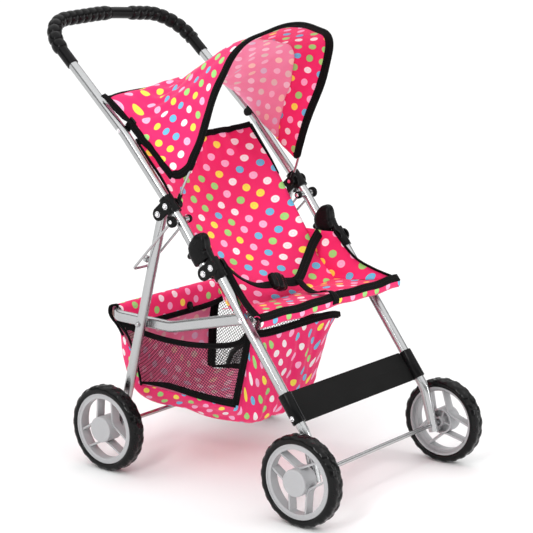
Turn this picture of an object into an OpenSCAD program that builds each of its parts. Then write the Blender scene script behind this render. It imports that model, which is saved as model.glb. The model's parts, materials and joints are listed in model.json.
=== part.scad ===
// Folding doll stroller: tubular frame, fabric seat, canopy and basket, four wheels.
// Millimetres. +Z up, -Y to the front, X across. The origin is on the floor below the
// middle of the outline. In side view a point is [y, z].

/* [Frame] */
// Half the distance between the two side planes of the frame
side_x = 130; // [120:1:140]
// Outer diameter of the frame tubes
tube_d = 13; // [12:0.5:14]
// Wall of the frame tubes
tube_wall = 1.2; // [0.8:0.1:1.6]
// Slope of the front legs from the floor, degrees
leg_slope = 52.3; // [51:0.1:54]
// Slope of the handle tubes above the lock sleeves, degrees
handle_slope = 47.1; // [46:0.1:48]
// Slope of the upper handle, degrees
grip_slope = 41.4; // [40:0.1:43]
// Length of handle tube from the fold hinge to its first bend
hinge_to_bend = 72; // [70:1:74]
// Length of handle tube between its first and second bends
bend_to_bend = 140; // [135:1:145]
// Length of handle tube from its second bend to the start of the grip
bend_to_grip = 122; // [115:1:125]
// Reach of the grip's corners beyond its start
grip_reach = 76; // [70:1:80]
// Extra rise of the middle of the grip
grip_arch = 10; // [6:1:12]

/* [Wheels] */
// Diameter of the wheels over the tyre
wheel_d = 114; // [110:1:114]
// Width of the tyres
tyre_w = 22; // [18:1:22]
// Half the distance between the left and right tyres, centre to centre
track_half = 156.5; // [156:0.5:160]
// Distance between the front and rear axles
wheelbase = 316.7; // [314:0.1:320]
// Diameter of the axle rods
axle_d = 6; // [5:0.5:6]

/* [Linkage] */
// Offset of the handle tube behind the leg's line at the fold hinge
hinge_offset = 15; // [15:0.5:17]
// Distance from the fold hinge to the basket frame pivot, along the leg
basket_pivot_drop = 75.2; // [74:0.1:78]
// Distance from the first handle bend to the upper bracket
bend_to_bracket = 27; // [26:0.5:30]
// Offset of the rear leg pivot behind the handle tube
rear_pivot_offset = 17; // [17:0.5:18]
// Diameter of the pivot pins
pin_d = 4.8; // [4:0.1:5]
// Radial running clearance of pins and axles in their holes
running_fit = 0.05; // [0.03:0.01:0.08]

/* [Soft goods] */
// Reach of the canopy hoop from its pivot to its top
hoop_reach = 244; // [238:1:250]
// Tilt of the canopy hoop forward of vertical, degrees
hoop_tilt = 22; // [20:1:26]
// Half the width of the seat's front edge
seat_front_half = 144; // [140:1:148]
// Height of the bottom of the basket bag
bag_floor_z = 84; // [80:1:100]

/* [Hidden] */
$fn = 48;

SIDES = [["left", -1], ["right", 1]];
CORNERS = ["front_left", "front_right", "rear_left", "rear_right"];

silver = [0.80, 0.81, 0.83];
black = [0.06, 0.06, 0.06];
grey = [0.74, 0.74, 0.74];
pink = [1.0, 0.18, 0.42];
steel = [0.88, 0.88, 0.90];

// --- Side view: points and directions, worked out from the driving dimensions ---
// the middle of the outline, in the side view that the hinge is placed in
middle_y = 25.45;
function dir(a) = [cos(a), sin(a)];
// the direction square to a slope, to the rear and down
function back(a) = [sin(a), -cos(a)];
function at(p) = [0, p[0], p[1]];

tube_r = tube_d / 2;
pin_r = pin_d / 2;
axle_r = axle_d / 2;
wheel_r = wheel_d / 2;
leg_dir = dir(leg_slope);
leg_joint = [-25 - middle_y, 290.2];
hinge = leg_joint + hinge_offset * back(leg_slope);
leg_top = leg_joint + 10 * leg_dir;
leg_knee = leg_joint - 234.7 * leg_dir;
basket_pivot = leg_joint - basket_pivot_drop * leg_dir;
front_axle_at = [-182.7 - middle_y, wheel_r];
rear_axle_at = front_axle_at + [wheelbase, 0];

bend_1 = hinge + hinge_to_bend * leg_dir;
bend_2 = bend_1 + bend_to_bend * dir(handle_slope);
grip_start = bend_2 + bend_to_grip * dir(grip_slope);
grip_corner = grip_start + grip_reach * dir(grip_slope);
grip_top = grip_corner + grip_arch * dir(grip_slope);
grip_corner_x = side_x - 2;
// the sides lean in a little from the second bend to the corner
grip_start_x = side_x - (side_x - grip_corner_x) * bend_to_grip / (bend_to_grip + grip_reach);

bracket_at = bend_1 + bend_to_bracket * dir(handle_slope);
rear_pivot = bracket_at + rear_pivot_offset * back(handle_slope);
bail_pivot = bend_1 + 4 * dir(handle_slope);
rear_leg_dir = (rear_axle_at - rear_pivot) / norm(rear_axle_at - rear_pivot);
hook_at = bend_2 + 6 * dir(grip_slope);

// the basket frame: a sloping arm, a kink and a level part
arm_x = 117;
arm_thick = 8;
arm_tall = 15;
basket_level = 197;
basket_kink = [59 - middle_y, basket_level];
basket_rear_y = 168 - middle_y;
basket_corner_r = 24;
rear_rivet_at = rear_pivot + rear_leg_dir * (rear_pivot[1] - basket_level) / -rear_leg_dir[1];

cheek_gap = 0.5;
cheek_thick = 2.5;
knob_foot = rear_pivot + 67 * rear_leg_dir;
knob_dir = [-rear_leg_dir[1], rear_leg_dir[0]];

// --- Shapes that repeat ---
// Turns +Z to direction d, at point p, in 3D
module along(p, d) {
    flat = norm([d[0], d[1]]);
    translate(p) rotate([0, atan2(flat, d[2]), atan2(d[1], d[0])]) children();
}

module rod(p, q, r) {
    along(p, q - p) cylinder(r = r, h = norm(q - p));
}

// A cylinder across the stroller, from x0 to x1, at side view point p
module cross_rod(p, x0, x1, r) {
    rod([x0, p[0], p[1]], [x1, p[0], p[1]], r);
}

module ring_2d(r, wall) {
    difference() {
        circle(r = r);
        if (wall > 0) circle(r = r - wall);
    }
}

function unit(v) = v / norm(v);
function turn(path, i) = acos(unit(path[i] - path[i - 1]) * unit(path[i + 1] - path[i]));
// Length that a bend of radius r takes from each of its two straights
function setback(path, r, i) =
    i == 0 || i == len(path) - 1 ? 0 : r[i] * tan(turn(path, i) / 2);

// A tube through the points of path, bent to radius bends[i] at point i. The bends are a
// hair thicker than the straights, which run a little way into them, so that all is one solid
bend_swell = 0.02;
bend_lap = 0.5;
module bent_tube(path, bends, r, wall = 0) {
    last = len(path) - 1;
    for (i = [0 : last - 1]) {
        d = unit(path[i + 1] - path[i]);
        a = path[i] + d * (i == 0 ? 0 : setback(path, bends, i) - bend_lap);
        b = path[i + 1] - d * (i == last - 1 ? 0 : setback(path, bends, i + 1) - bend_lap);
        along(a, d) linear_extrude(norm(b - a)) ring_2d(r, wall);
    }
    for (i = [1 : last - 1]) {
        d = unit(path[i] - path[i - 1]);
        out = unit(path[i + 1] - path[i]);
        inward = unit(out - (out * d) * d);
        axis = cross(d, inward);
        centre = path[i] - d * setback(path, bends, i) + inward * bends[i];
        multmatrix([[-inward[0], d[0], axis[0], centre[0]],
                    [-inward[1], d[1], axis[1], centre[1]],
                    [-inward[2], d[2], axis[2], centre[2]],
                    [0, 0, 0, 1]])
            rotate_extrude(angle = turn(path, i), $fn = 96) translate([bends[i], 0])
                ring_2d(r + bend_swell, wall > 0 ? wall + 2 * bend_swell : 0);
    }
}

// Lays +Y along the slope a of the side view, at point p
module lay(p, a) {
    translate(at(p)) rotate([a, 0, 0]) children();
}

// A slot shape in side view: a bar of width 2r from p to q with round ends, x0 to x1
module link_plate(p, q, r, x0, x1) {
    d = q - p;
    translate([x0, p[0], p[1]]) rotate([atan2(d[1], d[0]), 0, 0]) rotate([90, 0, 90])
        linear_extrude(x1 - x0) union() {
            circle(r = r);
            translate([norm(d), 0]) circle(r = r);
            translate([0, -r]) square([norm(d), 2 * r]);
        }
}

// Two cheeks either side of a frame tube, from p to q
module cheeks(p, q, r, s) {
    inner = tube_r + cheek_gap;
    for (side = [-1, 1])
        link_plate(p, q, r, s * side_x + min(side * inner, side * (inner + cheek_thick)),
                   s * side_x + max(side * inner, side * (inner + cheek_thick)));
}

// A domed rivet head at side view point p, on the face x, pointing outward (s = +1 or -1)
module rivet_head(p, x, s, r = 4) {
    translate([x, p[0], p[1]]) rotate([0, s * 90, 0]) {
        cylinder(r = r, h = 0.8);
        translate([0, 0, 0.8]) difference() {
            sphere(r = r * 0.8);
            translate([-r, -r, -2 * r]) cube([2 * r, 2 * r, 2 * r]);
        }
    }
}

// --- Front frame ---
module front_leg(s) color(silver) difference() {
    bent_tube([[s * side_x, leg_top[0], leg_top[1]], [s * side_x, leg_knee[0], leg_knee[1]],
               [s * side_x, front_axle_at[0] - 2.5, front_axle_at[1] - 9]],
              [0, 40, 0], tube_r, tube_wall);
    cross_rod(front_axle_at, s * side_x - 10, s * side_x + 10, axle_r + running_fit);
    cross_rod(basket_pivot, s * side_x - 10, s * side_x + 10, axle_r + running_fit);
}

module axle_rod(p) color(steel) {
    cross_rod(p, -track_half - 9, track_half + 9, axle_r);
    for (s = [-1, 1])
        translate([s * (side_x + tube_r + 3.2), p[0], p[1]])
            rotate([0, s * 90, 0]) cylinder(r = 5, h = 2.5);
}

// The fitting on top of a leg: a collar, two cheeks for the fold hinge, and a peg that the
// lock sleeve's cheeks close round
spigot_r = 5.4;
module leg_fitting(s) color(black) difference() {
    union() {
        cheeks(leg_joint, hinge, 9, s);
        along([s * side_x, leg_joint[0], leg_joint[1]] - 17 * at(leg_dir), at(leg_dir))
            cylinder(r = tube_r + 2, h = 28);
        along([s * side_x, leg_joint[0], leg_joint[1]] + 10.2 * at(leg_dir), at(leg_dir))
            cylinder(r = spigot_r, h = 20);
    }
    along([s * side_x, leg_joint[0], leg_joint[1]] - 18 * at(leg_dir), at(leg_dir))
        cylinder(r = tube_r + running_fit, h = 28.2);
    cross_rod(hinge, s * side_x - 12, s * side_x + 12, pin_r + running_fit);
    // room for the end of the handle tube to turn
    cross_rod(hinge, s * side_x - tube_r - cheek_gap, s * side_x + tube_r + cheek_gap, tube_r + 0.6);
}

module hinge_pins() color(steel)
    for (s = [-1, 1])
        cross_rod(hinge, s * side_x - tube_r - cheek_gap - cheek_thick - 0.1,
                  s * side_x + tube_r + cheek_gap + cheek_thick + 0.1, pin_r);

footrest_top = leg_joint - 179 * leg_dir;
footrest_bottom = leg_joint - 219 * leg_dir;
footrest_rivet = leg_joint - 211 * leg_dir;

module footrest_clamp(s) color(black) difference() {
    along([s * side_x, footrest_bottom[0], footrest_bottom[1]], at(leg_dir))
        cylinder(r = tube_r + 2.2, h = 40);
    along([s * side_x, footrest_bottom[0], footrest_bottom[1]] - at(leg_dir), at(leg_dir))
        cylinder(r = tube_r + running_fit, h = 42);
}

// A slightly creased board between the clamps, along the legs
board_thick = 3;
module footrest_panel() color(black)
    lay(footrest_bottom, leg_slope) {
        half = side_x - tube_r - 2.6;
        profile = [[0, -2], [21, -1], [41, -3]];
        translate([-half, 0, 0]) rotate([90, 0, 90]) linear_extrude(2 * half)
            polygon(concat(profile, [for (i = [2 : -1 : 0]) profile[i] - [0, board_thick]]));
    }

module seat_crossbar() color(steel) {
    cross_rod(basket_pivot, -side_x - tube_r - 0.3, side_x + tube_r + 0.3, axle_r);
}

module frame_rivets() color(steel)
    for (s = [-1, 1]) {
        face = side_x + tube_r + cheek_gap + cheek_thick + 0.1;
        rivet_head(hinge, s * face, s);
        rivet_head(leg_joint, s * (side_x + tube_r + cheek_gap + cheek_thick + 0.02), s);
        rivet_head(footrest_rivet, s * (side_x + tube_r + 2.25), s, 3.2);
        rivet_head(basket_pivot, s * (side_x + tube_r + 0.35), s, 3.6);
    }

// --- Handle ---
module handle_tube() color(silver) difference() {
    side = [hinge + 5 * leg_dir, bend_1, bend_2];
    path = concat(
        [for (p = side) [-side_x, p[0], p[1]]],
        [[-grip_corner_x, grip_corner[0], grip_corner[1]], [0, grip_top[0], grip_top[1]],
         [grip_corner_x, grip_corner[0], grip_corner[1]]],
        [for (i = [2 : -1 : 0]) [side_x, side[i][0], side[i][1]]]);
    union() {
        bent_tube(path, [0, 120, 120, 54, 300, 54, 120, 120, 0], tube_r, tube_wall);
        // the closed end that the fold hinge passes through
        for (s = [-1, 1]) {
            cross_rod(hinge, s * side_x - tube_r, s * side_x + tube_r, 6.2);
            along([s * side_x, hinge[0], hinge[1]], at(leg_dir)) cylinder(r = 6.3, h = 12);
        }
    }
    for (s = [-1, 1]) {
        cross_rod(hinge, s * side_x - 10, s * side_x + 10, pin_r + running_fit);
        cross_rod(bracket_at, s * side_x - 10, s * side_x + 10, pin_r + running_fit);
        cross_rod(bail_pivot, s * side_x - 10, s * side_x + 10, 2 + running_fit);
    }
}

module grip() color(black) {
    path = [[-grip_start_x, grip_start[0], grip_start[1]], [-grip_corner_x, grip_corner[0], grip_corner[1]],
            [0, grip_top[0], grip_top[1]], [grip_corner_x, grip_corner[0], grip_corner[1]],
            [grip_start_x, grip_start[0], grip_start[1]]];
    bent_tube(path, [0, 54, 300, 54, 0], 9.3, 9.3 - tube_r - running_fit);
}

module upper_bracket(s) color(black) difference() {
    p = [s * side_x, bracket_at[0], bracket_at[1]];
    d = at(dir(handle_slope));
    union() {
        along(p - 12 * d, d) cylinder(r = tube_r + 2.8, h = 24);
        cheeks(bracket_at, rear_pivot, 8.5, s);
    }
    along(p - 13 * d, d) cylinder(r = tube_r + running_fit, h = 26);
    cross_rod(bracket_at, s * side_x - 12, s * side_x + 12, pin_r + running_fit);
    cross_rod(rear_pivot, s * side_x - 12, s * side_x + 12, pin_r + running_fit);
    // room for the end of the rear leg to turn
    cross_rod(rear_pivot, s * side_x - tube_r - cheek_gap, s * side_x + tube_r + cheek_gap, tube_r + 1);
}

// Each bracket pin runs on inward, where the canopy socket turns on it
module bracket_pins() color(steel)
    for (s = [-1, 1]) {
        outer = side_x + tube_r + cheek_gap + cheek_thick + 0.1;
        cross_rod(bracket_at, s * 112, s * outer, pin_r);
        cross_rod(rear_pivot, s * (side_x - tube_r - cheek_gap - cheek_thick), s * outer, pin_r);
    }

module handle_rivets() color(steel)
    for (s = [-1, 1]) {
        face = side_x + tube_r + cheek_gap + cheek_thick + 0.1;
        rivet_head(bracket_at, s * face, s);
        rivet_head(rear_pivot, s * face, s);
        rivet_head(hook_at, s * (side_x + tube_r + 0.1), s, 3);
    }

// The sleeve that locks the fold: a collar on the handle tube with two cheeks that
// cover the leg's top, a thumb boss above it and a finger tab behind
lock_from = 13;
lock_length = 30;
module lock_sleeve(s) color(black) {
    p = [s * side_x, hinge[0], hinge[1]];
    d = at(leg_dir);
    front = -at(back(leg_slope));
    difference() {
        union() {
            along(p + lock_from * d, d) cylinder(r = tube_r + 2.7, h = lock_length);
            for (side = [-1, 1])
                translate(p) rotate([leg_slope, 0, 0])
                    translate([side * (tube_r + 1.9) - 1.4, lock_from + 0.5, -3])
                        cube([2.8, lock_length - 1, hinge_offset + 9]);
            translate(p) rotate([leg_slope, 0, 0])
                translate([-tube_r - 1, lock_from + 21, tube_r]) cube([2 * tube_r + 2, 8, 12]);
            translate(p + 38.5 * d + 19 * front) sphere(r = 6.5);
            translate(p + 35 * d - 12 * front) sphere(r = 4.5);
        }
        along(p + (lock_from - 1) * d, d)
            cylinder(r = tube_r + 0.2, h = lock_length + 2);
    }
}

// The wire loop that hooks over the knob, wide enough to swing past the upper bracket's rivets
bail_outer = 15.8;
bail_inner = 14;
module bail(s) {
    far = knob_foot + 14 * rear_leg_dir + 17.5 * knob_dir;
    outer = s * (side_x + bail_outer);
    inner = s * (side_x - bail_inner);
    color(steel) {
        bent_tube([[outer, bail_pivot[0], bail_pivot[1]], [outer, far[0], far[1]],
                   [inner, far[0], far[1]], [inner, bail_pivot[0], bail_pivot[1]]], [0, 6, 6, 0], 1.6);
        cross_rod(bail_pivot, inner - s * 2.2, outer + s * 2.2, 2);
    }
    // spacers between the tube and the loop
    color(black) {
        cross_rod(bail_pivot, s * (side_x + tube_r + 0.5), outer + s * 2, 4.5);
        cross_rod(bail_pivot, s * (side_x - tube_r - 0.5), inner - s * 2, 4.5);
    }
}

module seat_hook(s) color(black) {
    translate([s * (side_x - tube_r - 0.1), hook_at[0], hook_at[1]]) rotate([0, -s * 90, 0])
        cylinder(r = 5.5, h = 3);
    lay(hook_at, grip_slope) translate([s * (side_x - tube_r - 2) - 1.5, -5, 4])
        cube([3, 10, 14]);
}

// --- Rear legs ---
module rear_leg(s) color(silver) difference() {
    top = rear_pivot + 4 * rear_leg_dir;
    end = rear_axle_at + 9 * rear_leg_dir;
    union() {
        along([s * side_x, top[0], top[1]], at(rear_leg_dir))
            linear_extrude(norm(end - top)) ring_2d(tube_r, tube_wall);
        cross_rod(rear_pivot, s * side_x - tube_r, s * side_x + tube_r, 6.2);
        along([s * side_x, rear_pivot[0], rear_pivot[1]], at(rear_leg_dir))
            cylinder(r = 6.3, h = 12);
    }
    cross_rod(rear_pivot, s * side_x - 10, s * side_x + 10, pin_r + running_fit);
    cross_rod(rear_axle_at, s * side_x - 10, s * side_x + 10, axle_r + running_fit);
}

// The rivets at the basket frame, and the knob that the bail hooks on
module rear_leg_rivets() for (s = [-1, 1]) {
    color(steel) rivet_head(rear_rivet_at, s * (side_x + tube_r + 0.05), s, 4);
    color(black) {
        translate([s * (side_x - tube_r - 0.1), rear_rivet_at[0], rear_rivet_at[1]])
            rotate([0, -s * 90, 0]) cylinder(r = 6, h = 1.8);
        along([s * side_x, knob_foot[0], knob_foot[1]], at(knob_dir)) {
            translate([0, 0, tube_r + 0.02]) cylinder(r = 2.5, h = 4);
            translate([0, 0, tube_r + 3]) cylinder(r = 4.5, h = 4.5);
        }
    }
}

// --- Basket ---
module oval_2d(wall, swell = 0) difference() {
    oval_slot(arm_tall + 2 * swell, arm_thick + 2 * swell);
    oval_slot(arm_tall - 2 * wall - 2 * swell, arm_thick - 2 * wall - 2 * swell);
}

// A slot shape with its long side along Y
module oval_slot(tall, thick) union() {
    for (v = [-1, 1]) translate([0, v * (tall - thick) / 2]) circle(r = thick / 2);
    square([thick, tall - thick], center = true);
}

basket_slope = atan2(basket_kink[1] - basket_pivot[1], basket_kink[0] - basket_pivot[0]);
kink_r = 60;
module basket_tube() color(silver) difference() {
    wall = 1;
    kink_back = kink_r * tan(-basket_slope / 2);
    corner_y = basket_rear_y - basket_corner_r;
    level_y = basket_kink[0] + kink_back - bend_lap;
    cross_half = arm_x - basket_corner_r + bend_lap;
    union() {
        for (s = [-1, 1]) {
            // the sloping arm
            translate([s * arm_x, basket_pivot[0], basket_pivot[1]])
                rotate([basket_slope - 90, 0, 0])
                    linear_extrude(norm(basket_kink - basket_pivot) - kink_back + bend_lap)
                        oval_2d(wall);
            translate([s * arm_x - arm_thick / 2 + 0.2, basket_pivot[0], basket_pivot[1]])
                rotate([0, 90, 0]) cylinder(r = arm_tall / 2 - 0.2, h = arm_thick - 0.4);
            // the kink
            translate([s * arm_x, basket_kink[0] + kink_back, basket_level + kink_r])
                rotate([0, 90, 0]) rotate_extrude(angle = basket_slope, $fn = 96)
                    translate([kink_r, 0]) rotate(90) oval_2d(wall, bend_swell);
            // the level part
            translate([s * arm_x, level_y, basket_level]) rotate([-90, 0, 0])
                linear_extrude(corner_y - level_y + bend_lap) oval_2d(wall);
            // the rear corner
            translate([s * (arm_x - basket_corner_r), corner_y, basket_level])
                rotate([0, 0, s > 0 ? 0 : 90]) rotate_extrude(angle = 90, $fn = 96)
                    translate([basket_corner_r, 0]) oval_2d(wall, bend_swell);
        }
        translate([-cross_half, basket_rear_y, basket_level]) rotate([0, 90, 0])
            linear_extrude(2 * cross_half) rotate(90) oval_2d(wall);
    }
    for (s = [-1, 1])
        cross_rod(basket_pivot, s * arm_x - 6, s * arm_x + 6, axle_r + running_fit);
}

// Black heads on the inner faces of the arms, where the rear legs cross them
module basket_spacers() color(black)
    for (s = [-1, 1])
        translate([s * (arm_x - arm_thick / 2 - 0.02), rear_rivet_at[0], rear_rivet_at[1]])
            rotate([0, -s * 90, 0]) cylinder(r = 4.5, h = 1.5);

// --- Soft goods ---
// A thin slab from y0 to y1 at height z, with half width hx
module slab(hx, y0, y1, z, t) {
    translate([-hx, y0, z]) cube([2 * hx, y1 - y0, t]);
}

bag_half = arm_x - arm_thick / 2 - 2.6;
module basket_bag() color(pink) difference() {
    bag_solid(0);
    bag_solid(2.5);
}

// The bag's outline, shrunk by w and raised past its mouth when w is above zero
module bag_solid(w) {
    open = w > 0 ? 1 : 0;
    hull() {
        slab(bag_half - 8 - w, -48 - middle_y + w, 122 - middle_y - w, bag_floor_z + w, 1);
        slab(bag_half - w, -58 - middle_y + w, basket_rear_y - 17 - w, 182, 1);
        slab(bag_half - w, -62 - middle_y + w, basket_rear_y - 17 - w, 196 + open, 1);
        slab(bag_half - w, -62 - middle_y + w, -40 - middle_y, 206 + open, 1);
    }
}

seat_z = basket_pivot[1] + axle_r + 0.6;
seat_front_y = -108 - middle_y;
crease_y = -32 - middle_y;
module seat_base() color(pink) {
    translate([-108, seat_front_y + 5.05, seat_z])
        cube([216, crease_y - seat_front_y - 5.05, 6]);
}

module seat_front_hem() color(pink)
    translate([-seat_front_half, seat_front_y - 2, seat_z - 8])
        cube([2 * seat_front_half, 7, 16]);

module seat_back() color(pink) {
    profile = [[crease_y + 2, seat_z], [12 - middle_y, 290], [76 - middle_y, 380],
               [119 - middle_y, 431]];
    translate([-111, 0, 0]) rotate([90, 0, 90]) linear_extrude(222)
        polygon(concat(profile, [for (i = [3 : -1 : 0]) profile[i] + [2.8, -2.8]]));
}

module seat_side(s) color(pink)
    translate([s * 118.4 - 1.2, 0, 0]) rotate([90, 0, 90]) linear_extrude(2.4)
        polygon([[-27 - middle_y, 298], [-96 - middle_y, 245], [-62 - middle_y, 241.5],
                 [-30 - middle_y, 240], [-14 - middle_y, 268]]);

// The canopy's wire hoop: waisted above its sockets, wide shoulders and a low arch on top
socket_x = 116.5;
function mirrored(half) =
    concat([for (p = half) [-p[0], p[1]]], [for (i = [len(half) - 2 : -1 : 0]) half[i]]);
hoop_outline = mirrored([[socket_x, 6.5], [socket_x, 24], [107, 90], [112.5, 150],
                         [98, hoop_reach - 24], [0, hoop_reach + 3]]);
module canopy_wire() color(steel) {
    d = [0, -sin(hoop_tilt), cos(hoop_tilt)];
    path = [for (p = hoop_outline) at(bracket_at) + [p[0], 0, 0] + p[1] * d];
    bent_tube(path, [0, 60, 200, 120, 45, 150, 45, 120, 200, 60, 0], 1.7);
}

module canopy_socket(s) color(black) difference() {
    d = [0, -sin(hoop_tilt), cos(hoop_tilt)];
    c = [s * socket_x, bracket_at[0], bracket_at[1]];
    union() {
        translate(c) rotate([0, 90, 0]) cylinder(r = 6, h = 6.6, center = true);
        along(c + 4 * d, d) cylinder(r = 2.8, h = 10);
    }
    cross_rod(bracket_at, s * 110, s * 124, pin_r + running_fit);
    along(c + 6 * d, d) cylinder(r = 1.9, h = 12);
}

// Fabric of the canopy: arched sections from its rear edge, t = 0, to the hoop, t = 1. Its
// lower corners run along the handle tubes, and its crown dips before it rises to the hoop
canopy_from = 53.3;
canopy_steps = 12;
canopy_points = 24;
canopy_corner = bracket_at + [103.5, 127];
canopy_tip = bracket_at + [-3.3, 32.2];
function canopy_angle(t) = canopy_from + t * (90 + hoop_tilt - canopy_from);
function canopy_reach(t) = 176 - 10 * t + (hoop_reach - 164) * pow(t, 3);
function canopy_half(t) = 133 - 15 * t;
// A rounded arch with straight sides
function arch(half, reach, u) =
    let (c = abs(cos(180 * u)) < 0.001 ? 0 : cos(180 * u))
    [-half * sign(c) * pow(abs(c), 0.45), reach * pow(sin(180 * u), 0.45)];
function canopy_section(t, inset) =
    let (root = canopy_corner + t * (canopy_tip - canopy_corner),
         crown = bracket_at + (canopy_reach(t) - inset) * dir(canopy_angle(t)))
    [for (j = [0 : canopy_points])
        let (p = arch(canopy_half(t) - inset, norm(crown - root), j / canopy_points),
             q = root + p[1] * unit(crown - root))
        [p[0], q[0], q[1]]];

module canopy_fabric() color(pink) {
    outer = [for (i = [0 : canopy_steps]) each canopy_section(i / canopy_steps, 0)];
    inner = [for (i = [0 : canopy_steps]) each canopy_section(i / canopy_steps, 2.5)];
    m = canopy_points + 1;
    n = canopy_steps + 1;
    k = m * n;
    faces = concat(
        [for (i = [0 : n - 2], j = [0 : m - 2]) each
            [[i * m + j, i * m + j + 1, (i + 1) * m + j + 1], [i * m + j, (i + 1) * m + j + 1, (i + 1) * m + j]]],
        [for (i = [0 : n - 2], j = [0 : m - 2]) each
            [[k + i * m + j, k + (i + 1) * m + j + 1, k + i * m + j + 1],
             [k + i * m + j, k + (i + 1) * m + j, k + (i + 1) * m + j + 1]]],
        [for (j = [0 : m - 2]) each
            [[j, k + j + 1, j + 1], [j, k + j, k + j + 1],
             [(n - 1) * m + j, (n - 1) * m + j + 1, k + (n - 1) * m + j + 1],
             [(n - 1) * m + j, k + (n - 1) * m + j + 1, k + (n - 1) * m + j]]],
        [for (i = [0 : n - 2]) each
            [[i * m, (i + 1) * m, k + (i + 1) * m], [i * m, k + (i + 1) * m, k + i * m],
             [i * m + m - 1, k + (i + 1) * m + m - 1, (i + 1) * m + m - 1],
             [i * m + m - 1, k + i * m + m - 1, k + (i + 1) * m + m - 1]]]);
    polyhedron(concat(outer, inner), faces);
}

belt_w = 14;
module lap_belt() color(black) {
    path = [[-115, -24 - middle_y, 287], [-60, -48 - middle_y, 262], [0, -60 - middle_y, 251],
            [60, -48 - middle_y, 262], [115, -24 - middle_y, 287]];
    for (i = [0 : 3]) hull() {
        translate(path[i]) rotate([35, 0, 0]) cube([1, 1.5, belt_w], center = true);
        translate(path[i + 1]) rotate([35, 0, 0]) cube([1, 1.5, belt_w], center = true);
    }
}

// Sewn to the front hem, it rises over the seat to the lap belt
module crotch_strap() color(black)
    hull() {
        translate([0, -66 - middle_y, 249]) cube([belt_w, 1, 1.5], center = true);
        translate([0, seat_front_y, seat_z + 8.8]) cube([belt_w, 1, 1.5], center = true);
    }

module harness_buckle() color(black)
    translate([-22, -62 - middle_y, 255]) rotate([35, 0, 0]) cube([26, 6, 18], center = true);

// --- Wheels, modelled about +Z with the outer face up ---
rim_outer = 46.5;
rim_inner = 40;
rim_half = 9.5;
hub_r = 17;
module tyre_shape() color(black)
    rotate_extrude($fn = 96) intersection() {
        translate([rim_outer + 0.05, -tyre_w / 2]) square([wheel_r - rim_outer - 0.05, tyre_w]);
        union() {
            translate([rim_outer, -tyre_w / 2 + 5]) square([wheel_r - rim_outer, tyre_w - 10]);
            for (v = [-1, 1]) translate([wheel_r - 7.5, v * (tyre_w / 2 - 7.5)]) circle(r = 7.5);
            translate([rim_outer, -tyre_w / 2]) square([wheel_r - rim_outer - 7.5, tyre_w]);
        }
    }

spoke_t = 2.4;
spoke_r = 14;
spoke_span = 43.5;
module spoke() {
    centre = hub_r + spoke_r + 0.4;
    end = [rim_inner + 1.5, 0];
    tip = [end[0] * cos(spoke_span), end[0] * sin(spoke_span)];
    reach = norm(tip - [centre, 0]);
    bend = asin(spoke_r / reach);
    slope = atan2(tip[1], tip[0] - centre) + 180 - bend;
    length = sqrt(reach * reach - spoke_r * spoke_r);
    touch = slope - 90;
    for (v = [0, 1]) mirror([0, v, 0])
        translate([tip[0], tip[1], -6]) rotate(slope)
            translate([0, -spoke_t / 2, 0]) cube([length, spoke_t, 13]);
    translate([centre, 0, -6]) rotate(touch) rotate_extrude(angle = 2 * (180 - touch), $fn = 96)
        translate([spoke_r - spoke_t / 2, 0]) square([spoke_t, 13]);
}

module rim_shape(phase) color(grey) difference() {
    union() {
        rotate_extrude($fn = 96) union() {
            translate([rim_outer - 2.2, -rim_half]) square([2.2, 2 * rim_half]);
            translate([rim_inner, -3]) square([rim_outer - rim_inner - 1, 6]);
            translate([rim_inner, -3]) square([2.2, 3 + 8]);
            translate([rim_inner, 6.5]) square([rim_outer - rim_inner, 2.5]);
        }
        for (i = [0 : 2]) rotate(phase + 120 * i) spoke();
        rotate_extrude($fn = 96) union() {
            translate([hub_r - 2, -8]) square([2, 20]);
            translate([axle_r, 2]) square([hub_r - axle_r - 1, 2.5]);
            translate([axle_r, -12]) square([3.5, 16]);
        }
        for (i = [0 : 3]) rotate(phase + 90 * i)
            translate([axle_r + 3, -0.9, -6]) cube([hub_r - axle_r - 4, 1.8, 9]);
    }
    translate([0, 0, -20]) cylinder(r = axle_r + running_fit, h = 40);
}

module hub_cap_shape() color(grey) difference() {
    rotate_extrude($fn = 96) union() {
        translate([0, 12.05]) square([hub_r - 1.5, 3.5]);
        translate([0, 12.05]) square([hub_r, 2]);
        translate([hub_r - 1.5, 14.05]) circle(r = 1.5);
    }
    translate([0, 0, 5]) cylinder(r = hub_r, h = 7.05);
}

// Stands a wheel on its axle. Left wheels face -X and right wheels +X
module on_wheel(i) {
    s = i % 2 == 0 ? -1 : 1;
    p = i < 2 ? front_axle_at : rear_axle_at;
    translate([s * track_half, p[0], p[1]]) rotate([0, s * 90, 0]) children();
}
// Where the first spoke of each wheel points, from the front axis of the side view
spoke_phase = [0, 105, 60, 20];

handle_tube();
grip();
axle_rod(front_axle_at);  // front_axle
axle_rod(rear_axle_at);  // rear_axle
footrest_panel();
seat_crossbar();
frame_rivets();
handle_rivets();
rear_leg_rivets();
hinge_pins();
bracket_pins();
basket_tube();
basket_spacers();
basket_bag();
seat_base();
seat_front_hem();
seat_back();
canopy_wire();
canopy_fabric();
lap_belt();
crotch_strap();
harness_buckle();
for (s = SIDES) {
    front_leg(s[1]);
    rear_leg(s[1]);
    leg_fitting(s[1]);
    lock_sleeve(s[1]);
    upper_bracket(s[1]);
    bail(s[1]);
    footrest_clamp(s[1]);
    seat_hook(s[1]);
    canopy_socket(s[1]);
    seat_side(s[1]);
}
for (i = [0 : 3]) {
    on_wheel(i) tyre_shape();
    on_wheel(i) rim_shape(spoke_phase[i]);
    on_wheel(i) hub_cap_shape();
}
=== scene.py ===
import json
import math

import bpy
import numpy as np
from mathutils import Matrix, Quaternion, Vector


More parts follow.
